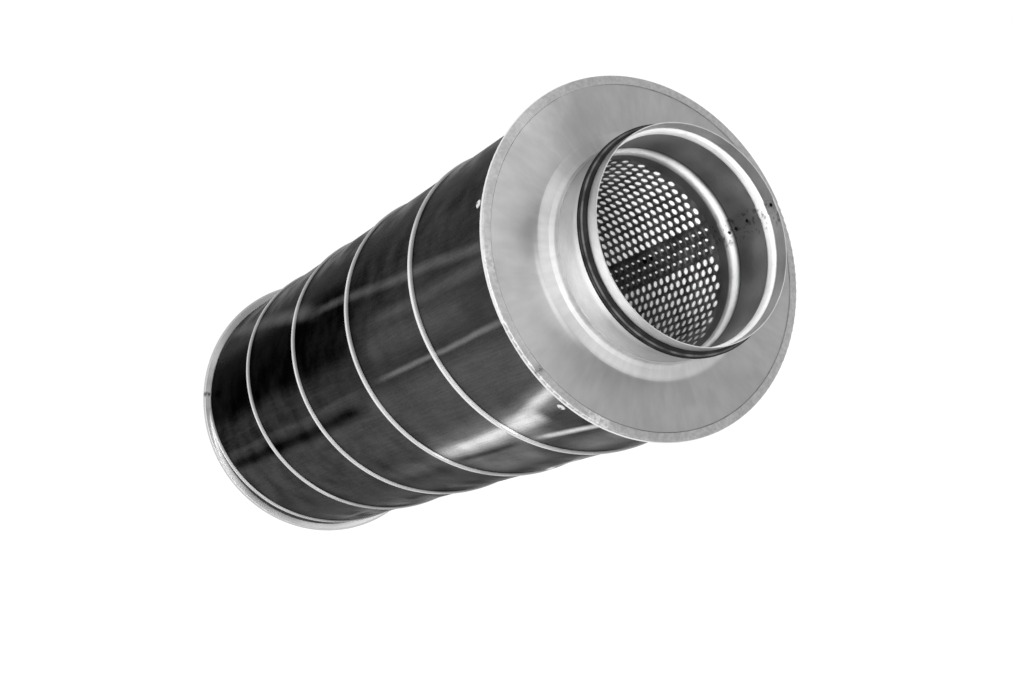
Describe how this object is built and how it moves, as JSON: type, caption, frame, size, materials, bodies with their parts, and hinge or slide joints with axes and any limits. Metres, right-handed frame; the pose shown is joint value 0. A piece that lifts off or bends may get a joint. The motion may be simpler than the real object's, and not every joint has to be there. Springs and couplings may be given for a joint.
{
  "type": "duct sound attenuator",
  "caption": "Round duct silencer: spiral-seamed galvanised casing, flanged end caps, spigots with lip seals, perforated liner and absorbing wool.",
  "frame": {"origin": "centre of the lower spigot's mouth, where the part stands", "axes": "+Z along the duct axis, from the lower spigot to the upper one; the side shown in the picture faces -Y"},
  "size_m": [0.2704, 0.2704, 0.727],
  "materials": {
    "casing_steel": "satin",
    "cap_steel": "satin",
    "spigot_steel": "satin",
    "liner_steel": "satin",
    "seal_rubber": "matte",
    "fleece": "matte",
    "wool": "matte",
    "rivet_metal": "satin"
  },
  "bodies": {
    "root": {"outer_casing": "casing_steel", "end_cap_top": "cap_steel", "end_cap_bottom": "cap_steel", "spigot_top": "spigot_steel", "spigot_bottom": "spigot_steel", "seal_top": "seal_rubber", "seal_bottom": "seal_rubber", "perforated_liner": "liner_steel", "facing_fleece": "fleece", "absorbing_wool": "wool", "casing_rivets": "rivet_metal"}
  },
  "joints": []
}
